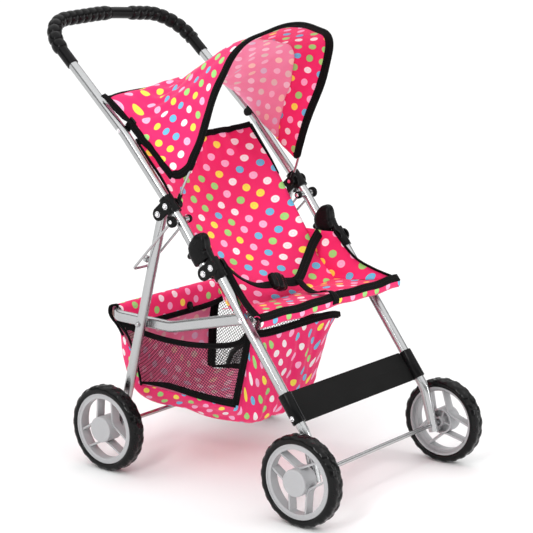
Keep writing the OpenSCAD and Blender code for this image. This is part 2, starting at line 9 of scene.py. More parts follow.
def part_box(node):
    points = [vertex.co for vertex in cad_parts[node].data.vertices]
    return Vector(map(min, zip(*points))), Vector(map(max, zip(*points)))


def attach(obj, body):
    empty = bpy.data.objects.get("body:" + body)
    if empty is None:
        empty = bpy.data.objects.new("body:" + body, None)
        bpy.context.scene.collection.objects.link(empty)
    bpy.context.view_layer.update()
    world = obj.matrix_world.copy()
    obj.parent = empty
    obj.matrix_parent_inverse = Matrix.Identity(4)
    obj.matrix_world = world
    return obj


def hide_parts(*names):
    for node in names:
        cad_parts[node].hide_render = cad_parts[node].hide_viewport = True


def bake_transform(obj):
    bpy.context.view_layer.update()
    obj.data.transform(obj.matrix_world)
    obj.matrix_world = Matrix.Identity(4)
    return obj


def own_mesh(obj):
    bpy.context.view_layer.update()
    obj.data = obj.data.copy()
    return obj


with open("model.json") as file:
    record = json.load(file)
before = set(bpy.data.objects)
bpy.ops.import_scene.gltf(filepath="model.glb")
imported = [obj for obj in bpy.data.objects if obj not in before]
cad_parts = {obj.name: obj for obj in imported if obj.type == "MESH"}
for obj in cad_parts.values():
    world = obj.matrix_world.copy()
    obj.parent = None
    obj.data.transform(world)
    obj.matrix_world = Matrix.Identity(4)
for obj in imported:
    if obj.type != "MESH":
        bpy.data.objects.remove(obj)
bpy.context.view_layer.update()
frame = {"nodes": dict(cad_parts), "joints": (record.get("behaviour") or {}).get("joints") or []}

# Looks of the folding doll stroller. Metres, +Z up, -Y to the front, X across.
# "near" is the -X side, which the camera stands on.

# --- Places and directions, from the frame ---


def pivot(joint):
    """Where a joint's axis crosses the middle plane."""
    return np.array(next(j["pos_m"] for j in frame["joints"] if j["name"] == joint))


def slope(degrees):
    """Unit vector in the side view, rising to the rear."""
    return np.array([0, math.cos(math.radians(degrees)), math.sin(math.radians(degrees))])


MM = 0.001
# from the middle plane to the middle of a handle tube or front leg
SIDE_X = 130 * MM
# directions up the front legs, the handle and its top, in the side view
LEG = slope(52.3)
HANDLE = slope(47.1)
GRIP = slope(41.4)
HINGE = pivot("handle_fold")
CANOPY_PIVOT = pivot("canopy_fold")
# the handle's two bends, and the place where the grip starts
BEND_1 = HINGE + 72 * MM * LEG
BEND_2 = BEND_1 + 140 * MM * HANDLE
GRIP_START = BEND_2 + 122 * MM * GRIP
# direction up the canopy hoop, which leans forward
HOOP = np.array([0, -math.sin(math.radians(22)), math.cos(math.radians(22))])
ACROSS = np.array([1.0, 0, 0])
UP = np.array([0, 0, 1.0])
CLOTH_THICK = 0.9 * MM


def place(x, y, z):
    return np.array([x, y, z], float)


def mm(*points):
    """Points given in millimetres, as an array in metres."""
    return np.array(points, float) * MM


# --- Curves ---


def unit(v):
    v = np.asarray(v, float)
    return v / np.maximum(np.linalg.norm(v, axis=-1, keepdims=True), 1e-12)


def lengths(points):
    """Distance along a line of points, from its first one."""
    steps = np.linalg.norm(np.diff(points, axis=0), axis=1)
    return np.concatenate([[0], np.cumsum(steps)])


def resample(points, count):
    """The same line with its points evenly spaced."""
    points = np.asarray(points, float)
    run = lengths(points)
    at = np.linspace(0, run[-1], count)
    return np.stack([np.interp(at, run, points[:, k]) for k in range(3)], 1)


def spline(points, count):
    """A smooth curve through a few points, evenly spaced."""
    p = np.asarray(points, float)
    ends = np.vstack([2 * p[0] - p[1], p, 2 * p[-1] - p[-2]])
    t = np.linspace(0, 1, 17)[:-1, None]
    out = []
    for a, b, c, d in zip(ends, ends[1:], ends[2:], ends[3:]):
        out.append(0.5 * (2 * b + (c - a) * t + (2 * a - 5 * b + 4 * c - d) * t**2
                          + (3 * b - a - 3 * c + d) * t**3))
    return resample(np.vstack(out + [p[-1:]]), count)


def rounded(points, radii, steps):
    """A polyline with each inner corner rounded to its radius, as a bent rod is."""
    p = np.asarray(points, float)
    out = [p[:1]]
    for a, b, c, r in zip(p, p[1:], p[2:], radii):
        u, v = unit(a - b), unit(c - b)
        half = math.acos(np.clip(u @ v, -1, 1)) / 2
        centre = b + unit(u + v) * r / math.sin(half)
        start, end = b + u * r / math.tan(half), b + v * r / math.tan(half)
        swing = math.pi - 2 * half
        t = np.linspace(0, 1, steps)[:, None]
        arm_a, arm_b = start - centre, end - centre
        arc = np.sin((1 - t) * swing) * arm_a + np.sin(t * swing) * arm_b
        out.append(centre + arc / math.sin(swing))
    return np.vstack(out + [p[-1:]])


# --- Meshes ---


def make(name, verts, faces, uvs, materials, indices=None):
    """A mesh object with uvs in metres, one for each corner of each face."""
    mesh = bpy.data.meshes.new(name)
    mesh.from_pydata([tuple(v) for v in verts], [], [tuple(f) for f in faces])
    layer = mesh.uv_layers.new(name="UVMap")
    flat = [c for f in uvs for c in f]
    layer.data.foreach_set("uv", np.array(flat, np.float32).ravel())
    for m in materials:
        mesh.materials.append(m)
    if indices is not None:
        mesh.polygons.foreach_set("material_index", np.array(indices, np.int32))
    mesh.polygons.foreach_set("use_smooth", [True] * len(mesh.polygons))
    mesh.update()
    obj = bpy.data.objects.new(name, mesh)
    bpy.context.scene.collection.objects.link(obj)
    return obj


def grid_normals(grid):
    du = np.gradient(grid, axis=1)
    dv = np.gradient(grid, axis=0)
    return unit(np.cross(du, dv))


def pushed(grid, height):
    """A grid moved along its normals, by a height in millimetres."""
    return grid + grid_normals(grid) * (height * MM)[..., None]


def axes(rows, columns):
    """Across from -1 to 1 and along from 0 to 1, shaped to work with a grid."""
    return np.linspace(-1, 1, columns)[None, :], np.linspace(0, 1, rows)[:, None]


def grid_uv(grid):
    """Distances over the cloth in metres, measured out from its middle."""
    m, n = grid.shape[:2]
    across = np.linalg.norm(np.diff(grid, axis=1), axis=2)
    u = np.concatenate([np.zeros((m, 1)), np.cumsum(across, axis=1)], 1)
    u -= u[:, n // 2][:, None]
    along = np.linalg.norm(np.diff(grid, axis=0), axis=2)
    v = np.concatenate([np.zeros((1, n)), np.cumsum(along, axis=0)], 0)
    return np.stack([u, v], 2)


def uv_along(grid, direction, stretch=1.0):
    """Distances over a cloth that curves round one direction: along it, and round it from the middle."""
    d = unit(np.asarray(direction, float))
    step = np.diff(grid, axis=1)
    step = step - (step @ d)[..., None] * d
    u = np.concatenate([np.zeros((len(grid), 1)), np.cumsum(np.linalg.norm(step, axis=2), axis=1)], 1)
    u -= u[:, grid.shape[1] // 2][:, None]
    return np.stack([u / stretch, grid @ d], 2)


def sheet_shell(name, grid, outer, inner, thick=CLOTH_THICK, uv=None, uv_shift=(0, 0)):
    """A cloth from a grid of points: right side along the grid's normals, wrong side behind it."""
    m, n = grid.shape[:2]
    uv = (grid_uv(grid) if uv is None else uv) + np.array(uv_shift)
    offset = grid_normals(grid) * thick / 2
    verts = np.vstack([(grid + offset).reshape(-1, 3), (grid - offset).reshape(-1, 3)])
    flat_uv = uv.reshape(-1, 2)
    k = m * n
    faces, uvs, index = [], [], []

    def add(face, material):
        faces.append(face)
        uvs.append([flat_uv[i % k] for i in face])
        index.append(material)

    for i in range(m - 1):
        for j in range(n - 1):
            a, b, c, d = i * n + j, i * n + j + 1, (i + 1) * n + j + 1, (i + 1) * n + j
            add((a, b, c, d), 0)
            add((k + a, k + d, k + c, k + b), 1)
    for j in range(n - 1):
        a, b = (m - 1) * n + j, (m - 1) * n + j + 1
        add((j, k + j, k + j + 1, j + 1), 0)
        add((a, b, k + b, k + a), 0)
    for i in range(m - 1):
        a, b, c, d = i * n, (i + 1) * n, i * n + n - 1, (i + 1) * n + n - 1
        add((a, b, k + b, k + a), 0)
        add((c, k + c, k + d, d), 0)
    return make(name, verts, faces, uvs, [outer, inner], index)


def sweep(name, path, section, face, material, scale=None):
    """A section swept along a path. face is the way that the section's second axis points."""
    path = np.asarray(path, float)
    section = np.asarray(section, float)
    n, k = len(path), len(section)
    tangent = unit(np.gradient(path, axis=0))
    face = np.broadcast_to(np.asarray(face, float), path.shape)
    normal = unit(face - tangent * np.sum(face * tangent, 1)[:, None])
    side = np.cross(tangent, normal)
    grown = np.ones((n, 2)) if scale is None else np.asarray(scale, float).reshape(n, -1) * np.ones((n, 2))
    rings = (path[:, None] + side[:, None] * (section[:, 0][None] * grown[:, :1])[..., None]
             + normal[:, None] * (section[:, 1][None] * grown[:, 1:])[..., None])
    run = lengths(path)
    around = lengths(np.hstack([np.vstack([section, section[:1]]), np.zeros((k + 1, 1))]))
    faces, uvs = [], []
    for i in range(n - 1):
        for j in range(k):
            j2 = (j + 1) % k
            faces.append((i * k + j, (i + 1) * k + j, (i + 1) * k + j2, i * k + j2))
            uvs.append([(run[i], around[j]), (run[i + 1], around[j]),
                        (run[i + 1], around[j + 1]), (run[i], around[j + 1])])
    for ring, order in ((0, 1), (n - 1, -1)):
        faces.append(tuple(ring * k + j for j in range(k))[::order])
        uvs.append([(run[ring], around[j]) for j in range(k)][::order])
    return make(name, rings.reshape(-1, 3), faces, uvs, [material])


def outline(count, power=1.0):
    """Outline of radius 1: a circle at power 1, and a rounded square below that."""
    turn = np.linspace(0, 2 * math.pi, count, endpoint=False)
    c, s = np.cos(turn), np.sin(turn)
    return np.stack([np.sign(c) * np.abs(c) ** power, np.sign(s) * np.abs(s) ** power], 1)


def stadium(width, thick, steps=5):
    """Outline of a flat tape with rounded edges."""
    r, flat = thick / 2, (width - thick) / 2
    out = []
    for side, start in ((1, -90), (-1, 90)):
        for k in range(steps + 1):
            a = math.radians(start + 180 * k / steps)
            out.append((side * flat + r * math.cos(a), r * math.sin(a)))
    for k in (1, 2, 3):
        out.append((-flat + k * flat / 2, -r))
    return out


def binding(name, path, face, width, thick, taper=None):
    """Folded tape sewn round an edge."""
    edge = sweep(name, path, stadium(width, thick), face, BINDING, taper)
    return edge


# --- Materials ---


def feed(tree, socket, value):
    """Links the socket to a value that is itself a socket, and sets any other value on it."""
    if isinstance(value, bpy.types.NodeSocket):
        tree.links.new(value, socket)
    else:
        socket.default_value = value


def node(tree, kind, settings=None, **inputs):
    """A shader node, with its inputs given by name, or as i0, i1 for their numbers."""
    made = tree.nodes.new(kind)
    for key, value in (settings or {}).items():
        setattr(made, key, value)
    for key, value in inputs.items():
        numbered = key[0] == "i" and key[1:].isdigit()
        feed(tree, made.inputs[int(key[1:]) if numbered else key.replace("_", " ")], value)
    return made


def math_node(tree, operation, a, b=0.0, clamp=False):
    return node(tree, "ShaderNodeMath", {"operation": operation, "use_clamp": clamp}, i0=a, i1=b).outputs[0]


def times(tree, a, b):
    return math_node(tree, "MULTIPLY", a, b)


def plus(tree, a, b, clamp=False):
    return math_node(tree, "ADD", a, b, clamp)


def ridges(tree, value, per_metre):
    """Rounded ridges, this many to the metre."""
    return math_node(tree, "ABSOLUTE", math_node(tree, "SINE", times(tree, value, math.pi * per_metre)))


def mix(tree, factor, a, b):
    """Two colours mixed. The colour sockets of a Mix node are its numbers 6 and 7, and its output 2."""
    return node(tree, "ShaderNodeMix", {"data_type": "RGBA"}, i0=factor, i6=a, i7=b).outputs[2]


def shade(colour, factor=1.0):
    """A colour as a node takes it, made darker or lighter."""
    return (*(min(1, c * factor) for c in colour), 1)


def between(a, b, share):
    """A colour part of the way from a to b."""
    return tuple(p + (q - p) * share for p, q in zip(a, b))


def material(name, colour, roughness, **shader):
    """A Principled material. Its colour stays plain until a pattern is linked to it."""
    made = bpy.data.materials.new(name)
    made.use_nodes = True
    tree = made.node_tree
    bsdf = tree.nodes["Principled BSDF"]
    bsdf.inputs["Base Color"].default_value = (*colour, 1)
    bsdf.inputs["Roughness"].default_value = roughness
    for key, value in shader.items():
        bsdf.inputs[key.replace("_", " ")].default_value = value
    return made, tree, bsdf


def surface_coords(tree):
    return node(tree, "ShaderNodeTexCoord").outputs["UV"]


def object_coords(tree):
    return node(tree, "ShaderNodeTexCoord").outputs["Object"]


def bump(tree, bsdf, height, distance, strength):
    made = node(tree, "ShaderNodeBump", Height=height, Distance=distance, Strength=strength)
    tree.links.new(made.outputs[0], bsdf.inputs["Normal"])


def noise(tree, vector, scale, detail, roughness=0.55):
    return node(tree, "ShaderNodeTexNoise", Vector=vector, Scale=scale, Detail=detail,
                Roughness=roughness).outputs["Fac"]


def ramp(tree, value, stops, interpolation="LINEAR"):
    """A colour ramp. A stop's colour is three numbers, or one for a grey."""
    made = node(tree, "ShaderNodeValToRGB", i0=value)
    made.color_ramp.interpolation = interpolation
    elements = made.color_ramp.elements
    while len(elements) < len(stops):
        elements.new(0.5)
    for element, (position, colour) in zip(elements, stops):
        element.position = position
        element.color = (*np.broadcast_to(np.array(colour, float), 3).tolist(), 1)
    return made.outputs[0]


def weave(tree, uv, threads):
    """Height of a plain weave with this many threads to the metre."""
    split = node(tree, "ShaderNodeSeparateXYZ", i0=uv)
    warp, weft = (ridges(tree, split.outputs[k], threads) for k in (0, 1))
    return times(tree, plus(tree, warp, weft), 0.5)


DOT_PITCH = 19 * MM
DOT_RADIUS = 5.0 * MM
PINK = (0.92, 0.016, 0.155)
# the wrong side's pink and dots: the back of the print is paler, and both are painted lighter still as
# painted light shining through the cloth
PALE_PINK_PAINTED_LIGHTER = (0.98, 0.34, 0.54)
FADED_DOT_PAINTED_LIGHTER = (1.0, 0.66, 0.78)
YELLOW, WHITE, ROSE = (0.98, 0.86, 0.09), (0.98, 0.93, 0.94), (1.0, 0.50, 0.72)
GREEN, BLUE = (0.33, 0.78, 0.22), (0.12, 0.55, 0.80)
DOT_COLOURS = [YELLOW, WHITE, ROSE, GREEN, BLUE]


def dotted(name, fade):
    """Hot pink cloth with staggered pastel dots. fade is 0 on the right side and 1 on the pale wrong side.
    The wrong side's print is paler, and it is painted lighter still: painted light that stands in for light
    shining through the cloth.
    """
    base = between(PINK, PALE_PINK_PAINTED_LIGHTER, fade)
    made, tree, bsdf = material(name, base, 0.72, Sheen_Weight=0.25, Sheen_Roughness=0.4,
                                Specular_IOR_Level=0.25)
    bsdf.inputs["Sheen Tint"].default_value = (1.0, 0.62, 0.75, 1)
    uv = surface_coords(tree)
    turned = node(tree, "ShaderNodeMapping", {"vector_type": "POINT"}, Vector=uv,
                  Rotation=(0, 0, math.radians(45)), Scale=(1 / DOT_PITCH,) * 3)
    cells = node(tree, "ShaderNodeTexVoronoi", {"voronoi_dimensions": "2D", "feature": "F1"},
                 Vector=turned.outputs[0], Scale=1.0, Randomness=0.10)
    share = DOT_RADIUS / DOT_PITCH
    soft_edge = 0.012
    inside = ramp(tree, cells.outputs["Distance"], [(0, 1), (share - soft_edge, 1), (share + soft_edge, 0)])
    ring = ramp(tree, cells.outputs["Distance"],
                [(0, 0), (share * 0.32, 0), (share * 0.45, 1), (share * 0.58, 0)])
    pick = node(tree, "ShaderNodeSeparateColor", i0=cells.outputs["Color"]).outputs[0]
    stops = [(k / len(DOT_COLOURS), between(colour, FADED_DOT_PAINTED_LIGHTER, 0.75 * fade))
             for k, colour in enumerate(DOT_COLOURS)]
    dots = ramp(tree, pick, stops, "CONSTANT")
    dots = mix(tree, times(tree, ring, 0.22), dots, shade(base))
    threads = weave(tree, uv, 1600)
    cloud = noise(tree, uv, 60, 4)
    ground = mix(tree, times(tree, threads, 0.14), shade(base), shade(base, 0.55))
    ground = mix(tree, times(tree, cloud, 0.22), ground, (0.95, 0.07, 0.22, 1))
    tree.links.new(mix(tree, inside, ground, dots), bsdf.inputs["Base Color"])
    tree.links.new(ramp(tree, cloud, [(0.3, 0.62), (0.7, 0.80)]), bsdf.inputs["Roughness"])
    height = plus(tree, times(tree, threads, 0.3), noise(tree, uv, 45, 5))
    bump(tree, bsdf, height, 0.5 * MM, 0.55)
    return made


def tape(name, ribs, sheen):
    """Black woven tape: fine ribs across, and a line of stitches along each edge."""
    made, tree, bsdf = material(name, (0.004, 0.004, 0.004), 0.82, Sheen_Weight=sheen, Sheen_Roughness=0.5,
                                Specular_IOR_Level=0.03)
    uv = surface_coords(tree)
    split = node(tree, "ShaderNodeSeparateXYZ", i0=uv)
    rib = ridges(tree, split.outputs[0], ribs)
    stitch_pitch, lane_gap, thread_r = 3.2 * MM, 2.2 * MM, 0.32 * MM
    swing = math_node(tree, "SINE", times(tree, split.outputs[0], 2 * math.pi / stitch_pitch))
    stitch = math_node(tree, "GREATER_THAN", swing, -0.35)
    line = math_node(tree, "LESS_THAN", math_node(tree, "PINGPONG", split.outputs[1], lane_gap), thread_r)
    thread = times(tree, stitch, line)
    fluff = noise(tree, uv, 900, 2)
    dark = mix(tree, rib, (0.0018, 0.0017, 0.0018, 1), (0.0055, 0.0052, 0.0054, 1))
    dark = mix(tree, times(tree, fluff, 0.5), dark, (0.010, 0.0095, 0.010, 1))
    tree.links.new(mix(tree, times(tree, thread, 0.6), dark, (0.022, 0.021, 0.022, 1)),
                   bsdf.inputs["Base Color"])
    bump(tree, bsdf, plus(tree, times(tree, rib, 0.5), times(tree, thread, 0.8)), 0.25 * MM, 0.8)
    return made


def net(name):
    """Open black net: thin diagonal threads with clear holes."""
    made, tree, bsdf = material(name, (0.006, 0.006, 0.006), 0.7, Specular_IOR_Level=0.15)
    uv = surface_coords(tree)
    pitch, thread = 3.5 * MM, 0.62 * MM
    turned = node(tree, "ShaderNodeMapping", {"vector_type": "POINT"}, Vector=uv,
                  Rotation=(0, 0, math.radians(38)), Scale=(1 / pitch,) * 3)
    split = node(tree, "ShaderNodeSeparateXYZ", i0=turned.outputs[0])
    lines = [math_node(tree, "LESS_THAN", math_node(tree, "PINGPONG", split.outputs[k], 0.5),
                       thread / pitch / 2) for k in (0, 1)]
    tree.links.new(math_node(tree, "MAXIMUM", *lines), bsdf.inputs["Alpha"])
    bump(tree, bsdf, noise(tree, uv, 2500, 2), 0.1 * MM, 0.5)
    return made


def metal(name, colour, roughness, grain, streak=1.0):
    """Drawn or plated metal: fine drawing lines, faint clouding and small marks."""
    made, tree, bsdf = material(name, colour, roughness, Metallic=1.0)
    drawn = node(tree, "ShaderNodeMapping", Vector=object_coords(tree),
                 Scale=(grain, grain * streak, grain * streak))
    lines = noise(tree, drawn.outputs[0], 1.0, 6, 0.7)
    cloud = noise(tree, object_coords(tree), 35, 4)
    marks = ramp(tree, noise(tree, object_coords(tree), 420, 3, 0.6), [(0.62, 0), (0.72, 1)])
    tint = mix(tree, cloud, shade(colour, 0.93), shade(colour, 1.04))
    tree.links.new(mix(tree, times(tree, marks, 0.10), tint, shade(colour, 0.6)), bsdf.inputs["Base Color"])
    rough = plus(tree, times(tree, lines, 0.12), times(tree, cloud, 0.08))
    tree.links.new(plus(tree, rough, roughness - 0.10), bsdf.inputs["Roughness"])
    bump(tree, bsdf, lines, 0.03 * MM, 0.35)
    return made


def plastic(name, colour, roughness, texture_scale, depth, vary=0.25, shine=0.5):
    """Moulded plastic: fine spark texture, faint clouding and rubbed high spots."""
    made, tree, bsdf = material(name, colour, roughness, Specular_IOR_Level=shine)
    at = object_coords(tree)
    grain = noise(tree, at, texture_scale, 3, 0.6)
    cloud = noise(tree, at, 28, 4)
    lighter = tuple(min(1, c * (1 + vary) + 0.004) for c in colour)
    tree.links.new(mix(tree, cloud, shade(colour, 1 - vary * 0.5), shade(lighter)), bsdf.inputs["Base Color"])
    tree.links.new(plus(tree, times(tree, cloud, 0.16), roughness - 0.08, True), bsdf.inputs["Roughness"])
    bump(tree, bsdf, grain, depth, 0.4)
    return made


FABRIC = dotted("dotted_fabric_right", 0.0)
# the wrong side: paler print, lightened further with painted light shining through the cloth
LINING = dotted("dotted_fabric_wrong", 1.0)
BINDING = tape("black_binding_tape", 1100, 0.02)
WEBBING = tape("black_webbing_tape", 650, 0.03)
NET = net("black_net")
TUBE = metal("tube_silver_metal", (0.46, 0.465, 0.47), 0.24, 700, 0.06)
ROD = metal("steel_rod_metal", (0.44, 0.44, 0.445), 0.24, 900, 0.1)
RIVET = metal("rivet_steel_metal", (0.88, 0.88, 0.90), 0.14, 1500)
PLASTIC = plastic("black_plastic_moulded", (0.0035, 0.0035, 0.0038), 0.26, 1400, 0.05 * MM, shine=0.10)
VINYL = plastic("grip_vinyl_gloss", (0.0022, 0.0022, 0.0025), 0.20, 900, 0.04 * MM, shine=0.14)
TYRE = plastic("tyre_black_gloss", (0.0026, 0.0026, 0.0028), 0.19, 700, 0.04 * MM, shine=0.17)
WHEEL = plastic("wheel_grey_moulded", (0.40, 0.40, 0.41), 0.40, 1200, 0.04 * MM, vary=0.08)
BOARD = plastic("footrest_vinyl", (0.0045, 0.0045, 0.0045), 0.50, 600, 0.12 * MM, shine=0.08)

# --- CAD nodes: their finishes ---

FINISHES = [
    (TUBE, ["handle_tube", "front_leg", "rear_leg", "basket_tube"]),
    (ROD, ["front_axle", "rear_axle", "canopy_wire", "seat_crossbar", "bail"]),
    (RIVET, ["frame_rivets", "handle_rivets", "hinge_pins", "bracket_pins"]),
    (BOARD, ["footrest_panel"]),
    (WHEEL, ["rim", "hub_cap"]),
    (TYRE, ["tyre"]),
    (VINYL, ["grip"]),
    (FABRIC, ["basket_bag", "seat_base", "seat_front_hem", "seat_back", "seat_side", "canopy_fabric"]),
    (WEBBING, ["lap_belt", "crotch_strap"]),
]


def finish_for(name):
    return next((m for m, starts in FINISHES if any(name.startswith(s) for s in starts)), PLASTIC)


for cad_name, cad_object in frame["nodes"].items():
    cad_object.data.materials.clear()
    cad_object.data.materials.append(finish_for(cad_name))
    if finish_for(cad_name) == PLASTIC:
        cad_object.modifiers.new("weld", "WELD").merge_threshold = 0.01 * MM
        edge = cad_object.modifiers.new("edge", "BEVEL")
        edge.width, edge.segments = 1.3 * MM, 3
        edge.limit_method, edge.angle_limit = "ANGLE", math.radians(40)
        edge.harden_normals = True


# --- Grip: a sleeve of round beads, smooth at its ends and beside its middle ---


def make_grip():
    corner = GRIP_START + 76 * MM * GRIP
    top = GRIP_START + 86 * MM * GRIP
    corner_x = SIDE_X - 2 * MM
    start_x = SIDE_X - 2 * MM * 122 / 198
    path = rounded([place(-start_x, *GRIP_START[1:]), place(-corner_x, *corner[1:]), place(0, *top[1:]),
                    place(corner_x, *corner[1:]), place(start_x, *GRIP_START[1:])],
                   [54 * MM, 300 * MM, 54 * MM], 40)
    path = resample(path, 1500)
    run = lengths(path)
    total = run[-1]
    pitch, plain_end = 13.6 * MM, 26 * MM
    bead_r, groove_r, plain_r = 9.9 * MM, 7.4 * MM, 7.9 * MM
    first, last = plain_end, total - plain_end
    plain_from, plain_to = total / 2 + 5 * MM, total / 2 + 45 * MM
    phase = ((run - first) / pitch) % 1
    beads = groove_r + (bead_r - groove_r) * np.sqrt(np.clip(1 - (2 * phase - 1) ** 2, 0, 1)) ** 0.9
    plain = (run < first) | (run > last) | ((run > plain_from) & (run < plain_to))
    grip = sweep("grip_sleeve", path, outline(40), GRIP, VINYL, np.where(plain, plain_r, beads))
    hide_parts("grip")
    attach(grip, "handle")


make_grip()


# --- Lock sleeves and the caps of the bails' pins ---


def make_lock(side, sign):
    """A rounded plastic sleeve round the tube, with a thumb dome in front and a small stud behind."""
    front = np.array([0, -LEG[2], LEG[1]])
    base = HINGE + sign * SIDE_X * ACROSS
    # distance up the leg and in front of it, half thickness and half width
    body = [(13.2, 4, 11.4, 7.4), (13.6, 4, 12.6, 9.2), (15, 4, 13.2, 10), (22, 4.4, 13.8, 10.2),
            (28, 5, 14.4, 10.2), (31, 6.5, 14.5, 10), (33.5, 9, 13.5, 9.6), (36.5, 12.5, 11.8, 9.2),
            (40, 16, 9.8, 8.6), (43, 18, 8, 7.4), (45, 19, 5.8, 5.6), (46, 19.4, 3.4, 3.6),
            (46.3, 19.5, 1.4, 1.2)]
    path = [base + (row[0] * LEG + row[1] * front) * MM for row in body]
    shell = sweep("lock_shell_" + side, path, outline(36, 0.55), ACROSS, PLASTIC, mm(*body)[:, 2:])
    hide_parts("lock_sleeve_" + side)
    turns = np.linspace(0.05, 1, 9) * math.pi * 0.5
    path = [base + (31 * LEG - (8 + 8.5 * math.sin(a)) * front) * MM for a in turns]
    radii = [4.6 * MM * max(math.cos(a), 0.05) ** 0.6 for a in turns]
    stud = sweep("lock_stud_" + side, path, outline(24), ACROSS, PLASTIC, radii)
    for piece in (shell, stud):
        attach(piece, "lock_" + side)


def make_bail_caps(side, sign):
    """Black caps with a bright rivet on the two ends of a bail's pin."""
    at = pivot("bail_swing_" + side)
    # distance out from the middle, the way that the cap points, and its radius
    for name, x, out, r in (("outer", 142.5, 1, 7.2), ("inner", 116, -1, 5.2)):
        centre = at + sign * x * MM * ACROSS
        way = sign * out * ACROSS * MM
        cap = sweep("bail_cap_%s_%s" % (name, side), [centre + k * way for k in (0, 0.4, 4, 5.2, 5.6)],
                    outline(32), UP, PLASTIC, mm(0.9 * r, r, r, 0.85 * r, 0.5 * r))
        rivet = sweep("bail_rivet_%s_%s" % (name, side), [centre + k * way for k in (5, 6, 6.8, 7.1)],
                      outline(24), UP, RIVET, mm(2.7, 2.6, 1.7, 0.4))
        for piece in (cap, rivet):
            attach(piece, "bail_" + side)


for lock_side, lock_sign in (("left", -1), ("right", 1)):
    make_lock(lock_side, lock_sign)
    make_bail_caps(lock_side, lock_sign)


# --- Tyres: rounded tread with low lugs that alternate from side to side ---


def make_tyre(corner):
    low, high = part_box("tyre_" + corner)
    centre = (np.array(low) + np.array(high)) / 2
    outer_r = (high[2] - low[2]) / 2
    width = high[0] - low[0]
    inner_r, around = 46.6 * MM, 360
    half, shoulder = width / 2, 7.0 * MM
    arc = np.radians(np.linspace(0, 90, 7))
    curve = np.array([outer_r, half]) - shoulder + shoulder * np.stack([np.cos(arc), np.sin(arc)], 1)
    mirror = np.array([1, -1])
    tread = [(outer_r, (shoulder - half) * (1 - k / 3)) for k in range(1, 6)]
    bead = np.array([(inner_r + 1.5 * MM, half), (inner_r, half * 0.86)])
    profile = np.vstack([bead[::-1] * mirror, curve[::-1] * mirror, tread, curve, bead])
    lug_count, lug_depth = 22, 0.9 * MM
    angles = np.linspace(0, 2 * math.pi, around, endpoint=False)
    verts = []
    for a in angles:
        for r, x in profile:
            turn = a * lug_count / (2 * math.pi) + (0.5 if x > 0 else 0) + 0.35 * abs(x) / half
            lug = 0.5 + 0.5 * math.tanh(3.5 * math.sin(2 * math.pi * turn))
            seam = 1 - math.exp(-((x + 1.5 * MM * math.sin(2 * math.pi * turn * 2)) / (1.4 * MM)) ** 2)
            near_tread = np.clip((r - (outer_r - shoulder * 0.75)) / (shoulder * 0.5), 0, 1)
            r2 = r - lug_depth * near_tread * (1 - lug * seam)
            verts.append((centre[0] + x, centre[1] + r2 * math.cos(a), centre[2] + r2 * math.sin(a)))
    k = len(profile)
    faces, uvs = [], []
    run = lengths(np.hstack([profile, np.zeros((k, 1))]))
    for i in range(around):
        for j in range(k):
            i2, j2 = (i + 1) % around, (j + 1) % k
            faces.append((i * k + j, i * k + j2, i2 * k + j2, i2 * k + j))
            u0, u1 = outer_r * angles[i], outer_r * (angles[i] + 2 * math.pi / around)
            v0, v1 = run[j], run[j] + (run[1] if j2 == 0 else run[j2] - run[j])
            uvs.append([(u0, v0), (u0, v1), (u1, v1), (u1, v0)])
    tyre = make("tread_" + corner, verts, faces, uvs, [TYRE])
    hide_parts("tyre_" + corner)
    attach(tyre, "wheel_" + corner)


for wheel in ("front_left", "front_right", "rear_left", "rear_right"):
    make_tyre(wheel)


# --- Canopy: one sheet from its rear edge, over the handle, to the wire hoop ---

# the near one, then the far one, which the photo shows in another place
CANOPY_TIPS = mm((-117, 31.5, 391.5), (116, 17, 391))
CANOPY_CORNERS = mm((-134, 127.5, 483), (125, 138, 481))
CANOPY_COLUMNS = 110
# the way that the print runs over the canopy, from the rear to the front
CANOPY_RUN = (0, -0.93, 0.37)


def on_hoop(x, reach):
    return CANOPY_PIVOT + x * MM * ACROSS + reach * MM * HOOP


def hoop_path():
    """The hoop's wire between its straight ends, from the near side over the top to the far side."""
    half = [(-116.5, 24), (-107, 90), (-112.5, 150), (-98, 220), (0, 247)]
    points = [on_hoop(x, reach) for x, reach in half] + [on_hoop(-x, reach) for x, reach in half[-2::-1]]
    return resample(rounded(points, mm(200, 120, 45, 150, 45, 120, 200), 14), 500)


def canopy_front(columns):
    """Front edge of the canopy: it leaves the wire above the sockets and turns back to each tip."""
    wire = hoop_path()
    reach = (wire - CANOPY_PIVOT) @ HOOP
    wire = wire[reach > 62 * MM]
    near = spline([CANOPY_TIPS[0], mm(-116, 19, 393), on_hoop(-112.5, 50), wire[0]], 30)
    far = spline([wire[-1], on_hoop(112.5, 50), on_hoop(114.5, 38), CANOPY_TIPS[1]], 30)
    return resample(np.vstack([near[:-1], wire, far[1:]]), columns)


def canopy_rear(columns):
    """Rear edge: it climbs quickly from each corner and is nearly flat over the back."""
    turn = np.linspace(0, math.pi, 300)
    across = -np.sign(np.cos(turn)) * np.abs(np.cos(turn)) ** 0.5
    rise = np.sin(turn) ** 1.4
    blend = (across[:, None] + 1) / 2
    line = CANOPY_CORNERS[0] * (1 - blend) + CANOPY_CORNERS[1] * blend + rise[:, None] * mm(0, 4, 5)
    return resample(line, columns)


